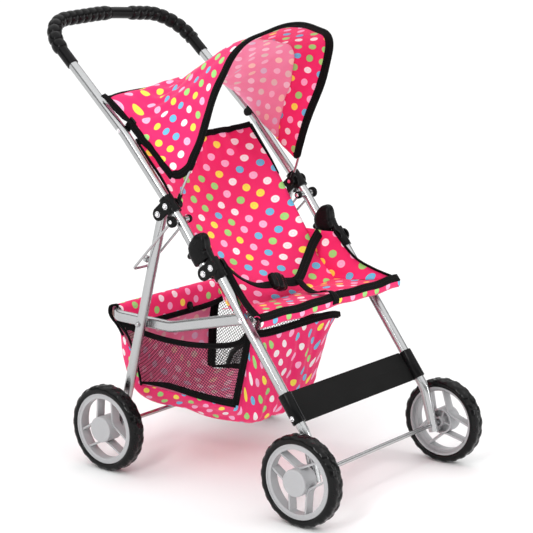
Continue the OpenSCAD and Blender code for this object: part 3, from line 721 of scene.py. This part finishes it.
def canopy_grid(rows, columns):
    """The canopy as a grid of points, from its rear edge to its front edge."""
    front, rear = canopy_front(columns), canopy_rear(columns)
    u, t = axes(rows, columns)
    grid = rear[None] * (1 - t[..., None]) + front[None] * t[..., None]
    arch = np.sin(math.pi * t)
    # from rear to front: a low ridge, a dip between the handle tubes, then a slight crown
    late = np.sin(math.pi * np.clip((t - 0.45) / 0.55, 0, 1))
    lift = late * 4 - 11 * np.exp(-((t - 0.3) / 0.2) ** 2) + 8 * np.exp(-((t - 0.13) / 0.11) ** 2)
    grid = grid + ((1 - np.abs(u) ** 4) * lift * MM)[..., None] * np.array([0, -0.25, 1.0])
    hollow = arch * np.abs(u) ** 3 * 4 * MM * np.sign(u)
    grid = grid - hollow[..., None] * ACROSS
    hem = np.abs(u) ** 30 * arch * (0.8 * np.sin(19 * t + 1) + 0.4 * np.sin(43 * t)) * MM
    grid = grid + hem[..., None] * np.array([0, -0.7, 0.7])
    fade = arch ** 0.7 * (1 - np.abs(u) ** 20)
    fan = np.abs(u) * 2.2 + 1.1 * t
    folds = (1.3 * np.sin(7 * u * (1 + 0.4 * t) + 5 * t) + 1.1 * np.sin(17 * fan * np.sign(u) + 2.0)
             + 0.9 * np.sin(11 * t + 6 * u) + 0.6 * np.sin(31 * u + 9 * t + 1)
             + 1.4 * np.exp(-((u + 0.62 - 0.25 * t) / 0.05) ** 2)
             - 1.2 * np.exp(-((u + 0.50 - 0.1 * t) / 0.07) ** 2))
    return pushed(grid, -1.1 * folds * fade)


def inward(grid, normals, distance):
    """Shifts a grid's last row into the cloth, square to its edge."""
    edge = grid[-1] - grid[-3]
    tangent = unit(np.gradient(grid[-1], axis=0))
    square = unit(np.cross(tangent, normals))
    return grid[-1] - square * np.sign(np.sum(square * edge, 1))[:, None] * distance


def make_canopy():
    grid = canopy_grid(46, CANOPY_COLUMNS)
    turned = grid[:, ::-1]
    canopy = sheet_shell("canopy_sheet", turned, FABRIC, LINING, uv=uv_along(turned, CANOPY_RUN))
    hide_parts("canopy_fabric")
    normals = -grid_normals(grid)
    front = inward(grid, normals[-1], 3.2 * MM)
    count = np.arange(CANOPY_COLUMNS)
    taper = np.clip(np.minimum(count, count[::-1])[:, None] / 3 + 0.75, 0, 1)
    trim = [binding("canopy_front_binding", front, normals[-1], 11.5 * MM, 4.6 * MM, taper)]
    thin = np.interp(count, [0, 5, 24], [0.8, 0.3, 1])[:, None]
    trim.append(binding("canopy_rear_binding", grid[0] + normals[0] * 0.8 * MM, normals[0],
                        7 * MM, 2.2 * MM, thin))
    for column, side in ((0, "left"), (-1, "right")):
        edge = grid[:, column]
        tab = edge[0] + unit(edge[0] - edge[2]) * 7 * MM
        inside = 0 if side == "left" else 4 * MM
        path = np.vstack([tab, edge + normals[:, column] * 1.2 * MM])
        path = path + inside * unit(place(0, -0.6, 0.8))
        face = np.vstack([normals[0, column], normals[:, column]])
        trim.append(binding("canopy_side_binding_" + side, path, face, 9.5 * MM, 2.2 * MM))
    facing = grid[-13:] - normals[-13:] * 1.2 * MM
    strip = sheet_shell("canopy_facing", facing, FABRIC, FABRIC, 0.5 * MM, uv=uv_along(facing, CANOPY_RUN))
    for piece in [canopy, strip] + trim:
        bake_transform(piece)


make_canopy()


# --- Seat: a slung back between the handle tubes, a base, a bound front hem and two gussets ---


def slung(edge, columns, drop, depth):
    """Cloth hung between an edge line and its mirror image, sagging along drop by depth in the middle."""
    u = np.linspace(-1, 1, columns)[None, :, None]
    grid = edge[:, None] * np.array([0, 1, 1]) + u * np.abs(edge[:, :1])[:, None] * ACROSS
    sag = (1 - np.abs(u) ** 2.2) * np.asarray(depth)[:, None, None]
    return grid + sag * drop


def make_seat_back():
    rows, columns = 56, 64
    edge = spline(mm((110, -62, 232), (109, -42, 255), (111, -13.5, 290), (111, 18.5, 335), (111, 50.5, 380),
                     (113, 77, 410), (114.5, 94.5, 429)), rows)
    u, v = axes(rows, columns)
    depth = np.interp(v[:, 0], [0, 0.08, 0.3, 0.6, 0.85, 1], [6, 13, 25, 27, 17, 7]) * MM
    grid = slung(edge, columns, unit(np.array([0, 0.79, -0.61])), depth)
    gathers = (1.6 * np.sin(15 * u + 1.2) + 1.3 * np.sin(27 * u + 0.4 + 3 * (1 - v))
               + 0.8 * np.sin(43 * u + 2)) * np.exp(-(1 - v) / 0.20) * (1 - 0.7 * (v > 0.985))
    slack = 1.0 * np.sin(5 * u + 6 * v) + 0.8 * np.sin(3.3 * u - 11 * v + 1)
    crease = 1.4 * np.sin(9 * u + 2) * np.exp(-v / 0.10)
    grid = pushed(grid, (gathers + slack + crease) * (1 - np.abs(u) ** 14))
    # the print on this panel is wider than it is tall
    back = sheet_shell("seat_back_sheet", grid, FABRIC, LINING, uv=uv_along(grid, (0, 0.62, 0.78), 1.35))
    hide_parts("seat_back")
    normals = grid_normals(grid)
    trim = [binding("seat_back_top_binding", grid[-1] + 1.0 * MM * normals[-1], normals[-1],
                    8.5 * MM, 3.4 * MM)]
    bound = 19
    part = slice(rows - bound, rows)
    narrowing = np.stack([np.linspace(0.25, 1, bound), np.ones(bound)], 1)
    for column, side in ((0, "left"), (-1, "right")):
        trim.append(binding("seat_back_side_binding_" + side, grid[part, column], normals[part, column],
                            7.5 * MM, 3.0 * MM, narrowing))
    for piece in [back] + trim:
        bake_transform(piece)


def make_seat_base():
    rows, columns = 30, 70
    edge = spline(mm((146, -133, 240), (137, -116, 239), (121.5, -103, 238), (114, -85, 237),
                     (110, -60, 235.5), (107, -42, 231)), rows)
    u, v = axes(rows, columns)
    # shallow, so that the crossbar stays below it
    depth = np.interp(v[:, 0], [0, 0.15, 0.55, 0.9, 1], [0.5, 0.8, 1.2, 6, 6]) * MM
    grid = slung(edge, columns, np.array([0, 0.15, -1.0]), depth)
    ripple = 0.7 * np.sin(11 * u + 3 * v) + 0.6 * np.sin(6 * v + 4 * u + 1) + 0.4 * np.sin(23 * u + 1)
    grid = pushed(grid, 1.2 * ripple * (1 - u ** 12) * np.sin(math.pi * np.clip(v * 1.1, 0, 1)))
    base = sheet_shell("seat_base_sheet", grid, FABRIC, LINING)
    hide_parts("seat_base")
    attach(base, "front_frame")


def make_seat_hem():
    """The front edge: a rolled pink band with black binding along its top."""
    columns = 80
    x = np.linspace(-148, 148, columns)
    wobble = 0.7 * np.sin(x * 0.045 + 1) + 0.5 * np.sin(x * 0.11)
    profile = [(-136, 229.2), (-137.8, 231.8), (-138, 236), (-136.6, 240.8), (-134, 243.4), (-130, 243.2),
               (-126.5, 241.5)]
    grid = np.array([[mm(a, y + 0.3 * w, z + w) for a, w in zip(x, wobble)] for y, z in profile])
    hem = sheet_shell("seat_front_hem_band", grid, FABRIC, LINING, uv_shift=(0.004, 0.006))
    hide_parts("seat_front_hem")
    top = mm(*[(a, -134.4 + 0.3 * w, 241.4 + w) for a, w in zip(x, wobble)])
    edge = binding("seat_front_binding", top, unit(np.array([0, -0.74, 0.67])), 11 * MM, 3.4 * MM)
    for piece in (hem, edge):
        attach(piece, "front_frame")


def make_gusset(side, sign):
    rows, columns = 16, 34
    mirror = np.array([sign, 1, 1])
    top = spline(mirror * mm((119, -49, 297), (119.5, -58, 288), (121, -68, 277), (125, -84, 262.5),
                             (135, -106, 250.5), (145.5, -132, 241)), columns)
    foot = spline(mirror * mm((110.5, -8, 298), (106, -30, 268), (108, -54, 236), (117, -95, 238.5),
                              (144, -131, 239.5)), columns)
    t = np.linspace(0, 1, rows)[:, None]
    grid = top[None] * (1 - t[..., None]) + foot[None] * t[..., None]
    c = np.linspace(0, 1, columns)[None, :]
    billow = np.sin(math.pi * t) * (np.sin(math.pi * c) * 3 + 1.0 * np.sin(13 * c + 5 * t))
    grid = grid + (billow * MM)[..., None] * place(-sign * 0.9, 0, -0.4)
    order = slice(None) if sign > 0 else slice(None, None, -1)
    turned = grid[:, order]
    gusset = sheet_shell("seat_gusset_" + side, turned, FABRIC, FABRIC, 0.7 * MM, uv=turned[..., 1:])
    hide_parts("seat_side_" + side)
    edge = binding("seat_gusset_binding_" + side, top, place(sign, -0.6, 0.8), 8.5 * MM, 3.0 * MM)
    for piece in (gusset, edge):
        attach(piece, "front_frame")


make_seat_back()
make_seat_base()
make_seat_hem()
make_gusset("left", -1)
make_gusset("right", 1)


# --- Harness: two lap straps, a crotch strap and a closed buckle ---


def strap(name, points, faces, width=13 * MM, count=60):
    """A flat webbing strap through points in millimetres, turned to face the way given along it."""
    path = spline(mm(*points), count)
    at, along = np.linspace(0, 1, len(faces)), np.linspace(0, 1, count)
    face = unit(np.stack([np.interp(along, at, [f[k] for f in faces]) for k in range(3)], 1))
    belt = sweep(name, path, stadium(width, 1.5 * MM, 3), face, WEBBING)
    return belt


def make_buckle():
    """A side-release buckle, closed: a rounded shell with a strap slot rib at each end."""
    along = unit(place(0.94, 0.10, -0.26))
    face = unit(place(-0.25, -0.75, 0.62))
    # place along the buckle, half width and half thickness, before it is grown to size
    rings = mm((-14.5, 6.0, 2.2), (-13.6, 7.6, 3.6), (-11, 8.6, 4.4), (-8, 8.8, 4.6), (-6.6, 8.0, 3.9),
               (-5, 9.0, 4.8), (0, 9.6, 5.4), (5, 9.2, 5.0), (6.4, 8.0, 3.8), (8, 8.6, 4.4),
               (11, 8.2, 4.2), (12.6, 7.0, 3.4), (13.4, 5.4, 2.0)) * np.array([1.12, 1.32, 1.2])
    path = mm(-21, -63.5, 254.5) + rings[:, :1] * along
    shell = sweep("harness_buckle_shell", path, outline(36, 0.6), face, PLASTIC, rings[:, 1:])
    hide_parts("harness_buckle")
    return shell


def make_harness():
    near = strap("lap_strap_near",
                 [(-118.5, -51, 296), (-104, -50, 284), (-84, -55, 268), (-62, -63, 257), (-32, -64, 253)],
                 [(0.3, -0.7, 0.7), (0.3, -0.6, 0.8), (0.1, -0.3, 1.0), (0, -0.5, 0.9), (0, -0.75, 0.65)],
                 11 * MM)
    far = strap("lap_strap_far",
                [(118.5, -27, 297), (92, -34, 283), (60, -47, 266), (22, -62, 249.5), (-10, -63, 252)],
                [(-0.3, -0.7, 0.7), (-0.3, -0.75, 0.6), (-0.25, -0.8, 0.55), (0, -0.75, 0.65)])
    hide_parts("lap_belt")
    crotch = strap("crotch_strap_web",
                   [(21, -64, 250), (19, -76, 243), (14, -92, 239.5), (9, -108, 242.5), (5, -122, 247),
                    (3, -132, 247), (2.5, -138.5, 240), (2.5, -138.5, 233)],
                   [(0, -0.75, 0.65), (0, -0.5, 0.9), (0, 0, 1), (0, 0, 1), (0, -0.1, 1), (0, -0.5, 0.8),
                    (0, -1, 0.1), (0, -1, 0)], 13 * MM, 80)
    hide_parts("crotch_strap")
    for piece in (near, far, crotch, make_buckle()):
        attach(piece, "front_frame")


make_harness()


# --- Basket: a sling of dotted cloth with net sides, hung from the basket frame ---

# the sling, from the flap inside the rear cross tube, over it, down, forward and up the front:
# place and height of its middle, then half width, place and height of its near and far edges
SLING = mm((129, 176, 99, 129.5, 176, 99, 129.5, 180), (130.5, 189, 101, 131, 190, 101, 131, 190),
           (133.5, 201.5, 103, 133.5, 201, 103, 133.5, 201), (138, 206.6, 105, 138, 206.3, 105, 138, 206.3),
           (144.5, 206.6, 107, 144.5, 206.3, 107, 144.5, 206.3),
           (149, 202, 108.5, 148.8, 202, 108.5, 148.8, 202), (148.4, 189, 108, 147, 190, 107, 147, 190),
           (150, 168, 106, 132, 172, 101, 144, 170), (156, 132, 100, 114, 138, 94, 142, 136),
           (157, 101, 91, 114, 112, 89, 138, 106), (144, 76, 83, 117, 98, 83, 134, 82),
           (108, 63, 82, 95, 97, 80, 95, 88), (55, 60, 83, 55, 97, 81, 55, 92),
           (10, 60, 84, 10, 98, 82, 10, 93), (-30, 63, 86, -30, 99.5, 83, -30, 95),
           (-49, 73, 87, -47, 101, 83, -47, 99),
           (-58, 98, 88, -51, 116, 83, -52, 116), (-67, 132, 90, -59, 140, 83, -60, 140),
           (-75, 164, 92.5, -68, 172, 84.5, -68, 170), (-79, 197, 95.5, -75.5, 203.5, 93, -75, 191.5))


def sling_grid(rows, columns):
    """The sling as a grid of points, from its flap to the top of its front."""
    lines = (np.pad(SLING[:, :2], ((0, 0), (1, 0))), SLING[:, 2:5] * np.array([-1, 1, 1]), SLING[:, 5:])
    middle, near, far = (resample(spline(line, 400), rows)[:, None] for line in lines)
    u, v = axes(rows, columns)
    # how square the corners of the sling's cross section are
    corner = np.interp(v, [0, 0.3, 0.36, 0.5, 0.8, 1], [5, 6, 6, 4.4, 3.6, 5])
    share = (np.abs(u) ** corner)[..., None]
    edge = np.where(u[..., None] < 0, near, far)
    width = np.abs(u)[..., None] * edge[..., :1] * ACROSS
    grid = edge * np.array([0, 1, 1]) * share + middle * (1 - share) + width
    free = np.clip((v - 0.14) / 0.1, 0, 1) * (1 - np.abs(u) ** 16) * np.clip((1 - v) / 0.04, 0, 1)
    folds = (1.6 * np.sin(8 * u + 7 * v) + 1.3 * np.sin(17 * u - 12 * v + 1) + 1.0 * np.sin(29 * v + 5 * u)
             + 0.7 * np.sin(37 * u + 9 * v))
    front = np.clip((v - 0.74) / 0.06, 0, 1)
    ripple = 1.0 * np.sin(12 * u + 4 * v + 0.6) + 0.35 * np.sin(25 * u + 2)
    folds = folds * (1 - 0.5 * front) + front * ripple
    return pushed(grid, folds * free)


def hang_basket(piece):
    """The basket's cloth turns with its frame, and each piece gets a mesh of its own."""
    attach(piece, "basket_frame")
    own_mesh(piece)


def net_side(side, sign):
    """One net side panel: bound all round, its top edge slung between the corners."""
    rows, columns, count = 26, 60, 40
    if side == "left":
        front = [(-95.5, -75.5, 203), (-92.5, -68, 172), (-90, -59, 140), (-87.5, -49, 103)]
        rear = [(-107, 138, 186), (-105, 121, 168), (-98, 114, 138), (-90, 114, 112), (-83, 118, 98)]
        bottom = [(-86, -20, 101), (-85, 20, 101), (-84, 70, 103)]
    else:
        front = [(90, -72, 190), (83.5, -66, 168), (82, -57, 134), (82, -46, 99)]
        rear = [(105, 142, 188), (99, 143, 168), (93, 141, 138), (88, 138, 108), (84, 136, 81)]
        bottom = [(81, -20, 94), (80, 20, 93), (80, 80, 92)]
    front, rear = (spline(mm(*line), count) for line in (front, rear))
    low = mm((98, -58, 187), (101, -9, 176.5), (104, 45, 173.5), (106.5, 95, 177.5)) * np.array([sign, 1, 1])
    top = spline([front[0], *low, rear[0]], columns)
    foot = spline([front[-1], *mm(*bottom), rear[-1]], columns)
    t = np.linspace(0, 1, rows)[:, None]
    c = np.linspace(0, 1, columns)[None, :]
    grid = top[None] * (1 - t[..., None]) + foot[None] * t[..., None]
    ends = [resample(line, rows)[:, None] for line in (front, rear)]
    shares = ((1 - c[..., None]) ** 3, c[..., None] ** 3)
    grid = grid + (ends[0] - grid[:, :1]) * shares[0] + (ends[1] - grid[:, -1:]) * shares[1]
    bulge = np.sin(math.pi * t) * np.sin(math.pi * c) * (3 + 0.8 * np.sin(9 * c + 4 * t))
    grid = grid + (bulge * MM)[..., None] * place(sign, 0, 0)
    panel = sheet_shell("basket_net_" + side, grid, NET, NET, 0.3 * MM)
    out = place(sign, 0, 0.12)
    swell = np.interp(np.linspace(0, 1, columns), [0, 0.25, 0.7, 0.92, 1], [1.15, 1.0, 0.9, 0.45, 0.3])
    lower = np.stack([swell, np.ones(columns)], 1)
    corner_width, rear_width = (9 * MM, 8 * MM) if side == "left" else (4 * MM, 12 * MM)
    trim = [binding("basket_band_" + side, top, out, 7.5 * MM, 2.4 * MM),
            binding("basket_foot_binding_" + side, foot + mm(0, 0, 1.5), out, 9.5 * MM, 2.4 * MM, lower),
            binding("basket_front_corner_" + side, front, place(sign, -0.9, 0), corner_width, 3.0 * MM),
            binding("basket_rear_corner_" + side, rear, place(sign, 0.9, 0), rear_width, 3.0 * MM)]
    for piece in [panel] + trim:
        hang_basket(piece)


def make_basket():
    grid = sling_grid(110, 60)
    sling = sheet_shell("basket_sling", grid, FABRIC, LINING)
    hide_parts("basket_bag")
    normals = grid_normals(grid)
    front = np.vstack([grid[-1, 0] + mm(-4, 0, 1), grid[-1], grid[-1, -1] + mm(7, 0, -0.5)])
    rounding = np.ones((len(front), 1))
    rounding[-1] = 0.7
    trim = [binding("basket_front_binding", front, unit(place(0, -0.9, 0.25)), 10 * MM, 3.4 * MM, rounding),
            binding("basket_flap_binding", grid[0] + normals[0] * 0.8 * MM, normals[0], 8 * MM, 2.4 * MM)]
    sleeve = slice(8, 23)
    for index, side in ((0, "left"), (-1, "right")):
        trim.append(binding("basket_sleeve_binding_" + side, grid[sleeve, index], normals[sleeve, index],
                            7 * MM, 2.6 * MM))
    snap_line = mm(28, 128.2, 183) + mm((0, 0, 0), (0, -1.6, 0.2), (0, -2.6, 0.3), (0, -2.8, 0.3))
    snap = sweep("basket_snap", snap_line, outline(28), UP, PLASTIC, mm(6, 5.6, 4.2, 1.5))
    for piece in [sling, snap] + trim:
        hang_basket(piece)
    net_side("left", -1)
    net_side("right", 1)


make_basket()


# --- Stage: floor, light, camera ---


def make_stage():
    bpy.ops.mesh.primitive_plane_add(size=60, location=(0, 0, 0))
    floor = bpy.context.object
    floor.name = "floor"
    made, tree, bsdf = material("floor_pale", (0.93, 0.93, 0.93), 0.85)
    cloud = noise(tree, object_coords(tree), 3, 3)
    tree.links.new(mix(tree, cloud, (0.92, 0.92, 0.92, 1), (0.95, 0.95, 0.95, 1)), bsdf.inputs["Base Color"])
    floor.data.materials.append(made)
    world = bpy.data.worlds.new("studio")
    bpy.context.scene.world = world
    world.use_nodes = True
    tree = world.node_tree
    coords = node(tree, "ShaderNodeTexCoord").outputs["Generated"]
    height = node(tree, "ShaderNodeSeparateXYZ", i0=coords).outputs[2]
    # white at the horizon and overhead, and a dark band between them for the tubes to mirror
    sky = ramp(tree, height, [(0, 1), (0.17, 1), (0.26, 0.08), (0.44, 0.08), (0.62, 1), (1, 1)])
    tree.links.new(sky, tree.nodes["Background"].inputs["Color"])
    tree.nodes["Background"].inputs["Strength"].default_value = 1.45
    bpy.context.scene.view_settings.view_transform = "Standard"


def area_light(name, location, size, power):
    """A soft panel of light that faces the middle of the stroller."""
    data = bpy.data.lights.new(name, "AREA")
    data.shape, data.size, data.size_y, data.energy = "RECTANGLE", size[0], size[1], power
    lamp = bpy.data.objects.new(name, data)
    bpy.context.scene.collection.objects.link(lamp)
    lamp.location = location
    lamp.rotation_mode = "QUATERNION"
    lamp.rotation_quaternion = (Vector((0, 0, 0.28)) - Vector(location)).to_track_quat("-Z", "Y")


def make_camera():
    data = bpy.data.cameras.new("camera")
    camera = bpy.data.objects.new("camera", data)
    bpy.context.scene.collection.objects.link(camera)
    bpy.context.scene.camera = camera
    azimuth, elevation, roll = (math.radians(a) for a in (-51.94, 12.52, 0.75))
    back = Vector((math.sin(azimuth) * math.cos(elevation), -math.cos(azimuth) * math.cos(elevation),
                   math.sin(elevation)))
    target, distance = Vector((0, -0.03695, 0.2666)), 2.210
    camera.location = target + back * distance
    camera.rotation_mode = "QUATERNION"
    camera.rotation_quaternion = (-back).to_track_quat("-Z", "Y") @ Quaternion((0, 0, 1), roll)
    data.sensor_width, data.lens = 36, 115.05
    data.shift_x, data.shift_y = -0.0104, 0.0007


make_stage()
area_light("key", (-1.9, -0.6, 1.5), (0.22, 0.9), 15)
area_light("fill", (1.0, -2.3, 0.9), (0.22, 1.0), 10)
make_camera()
